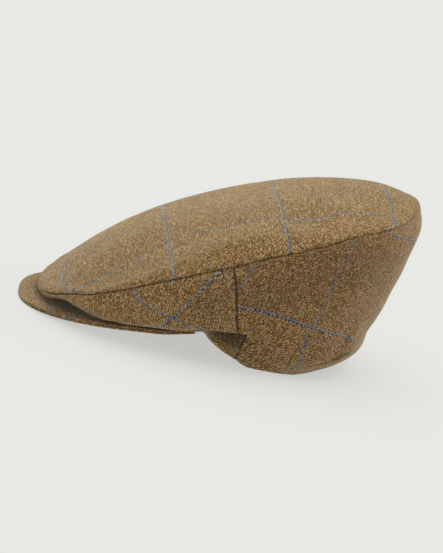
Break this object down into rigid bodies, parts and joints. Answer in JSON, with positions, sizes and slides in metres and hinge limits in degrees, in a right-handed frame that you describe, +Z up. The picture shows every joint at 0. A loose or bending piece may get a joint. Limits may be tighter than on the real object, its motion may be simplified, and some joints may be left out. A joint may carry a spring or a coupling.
{
  "type": "flat cap",
  "caption": "Flat cloth cap with a one-piece domed crown, side panels, a rear panel round the back and a stiff curved peak, open below for the head.",
  "frame": {"origin": "centre of the bounding box at the surface the cap rests on", "axes": "+Z up, -Y toward the front of the cap (the peak), +X toward the wearer's left"},
  "size_m": [0.218, 0.2588, 0.1252],
  "materials": {
    "crown_cloth": "matt brown tweed with a fine blue windowpane overcheck",
    "side_cloth": "matt brown tweed with a fine blue windowpane overcheck, cut on the bias",
    "rear_cloth": "matt brown tweed with a fine blue windowpane overcheck",
    "peak_cloth": "matt brown tweed over a stiff card"
  },
  "bodies": {
    "root": {"crown_top": "crown_cloth", "side_front_left": "side_cloth", "side_front_right": "side_cloth", "rear_panel": "rear_cloth", "peak": "peak_cloth"}
  },
  "joints": []
}
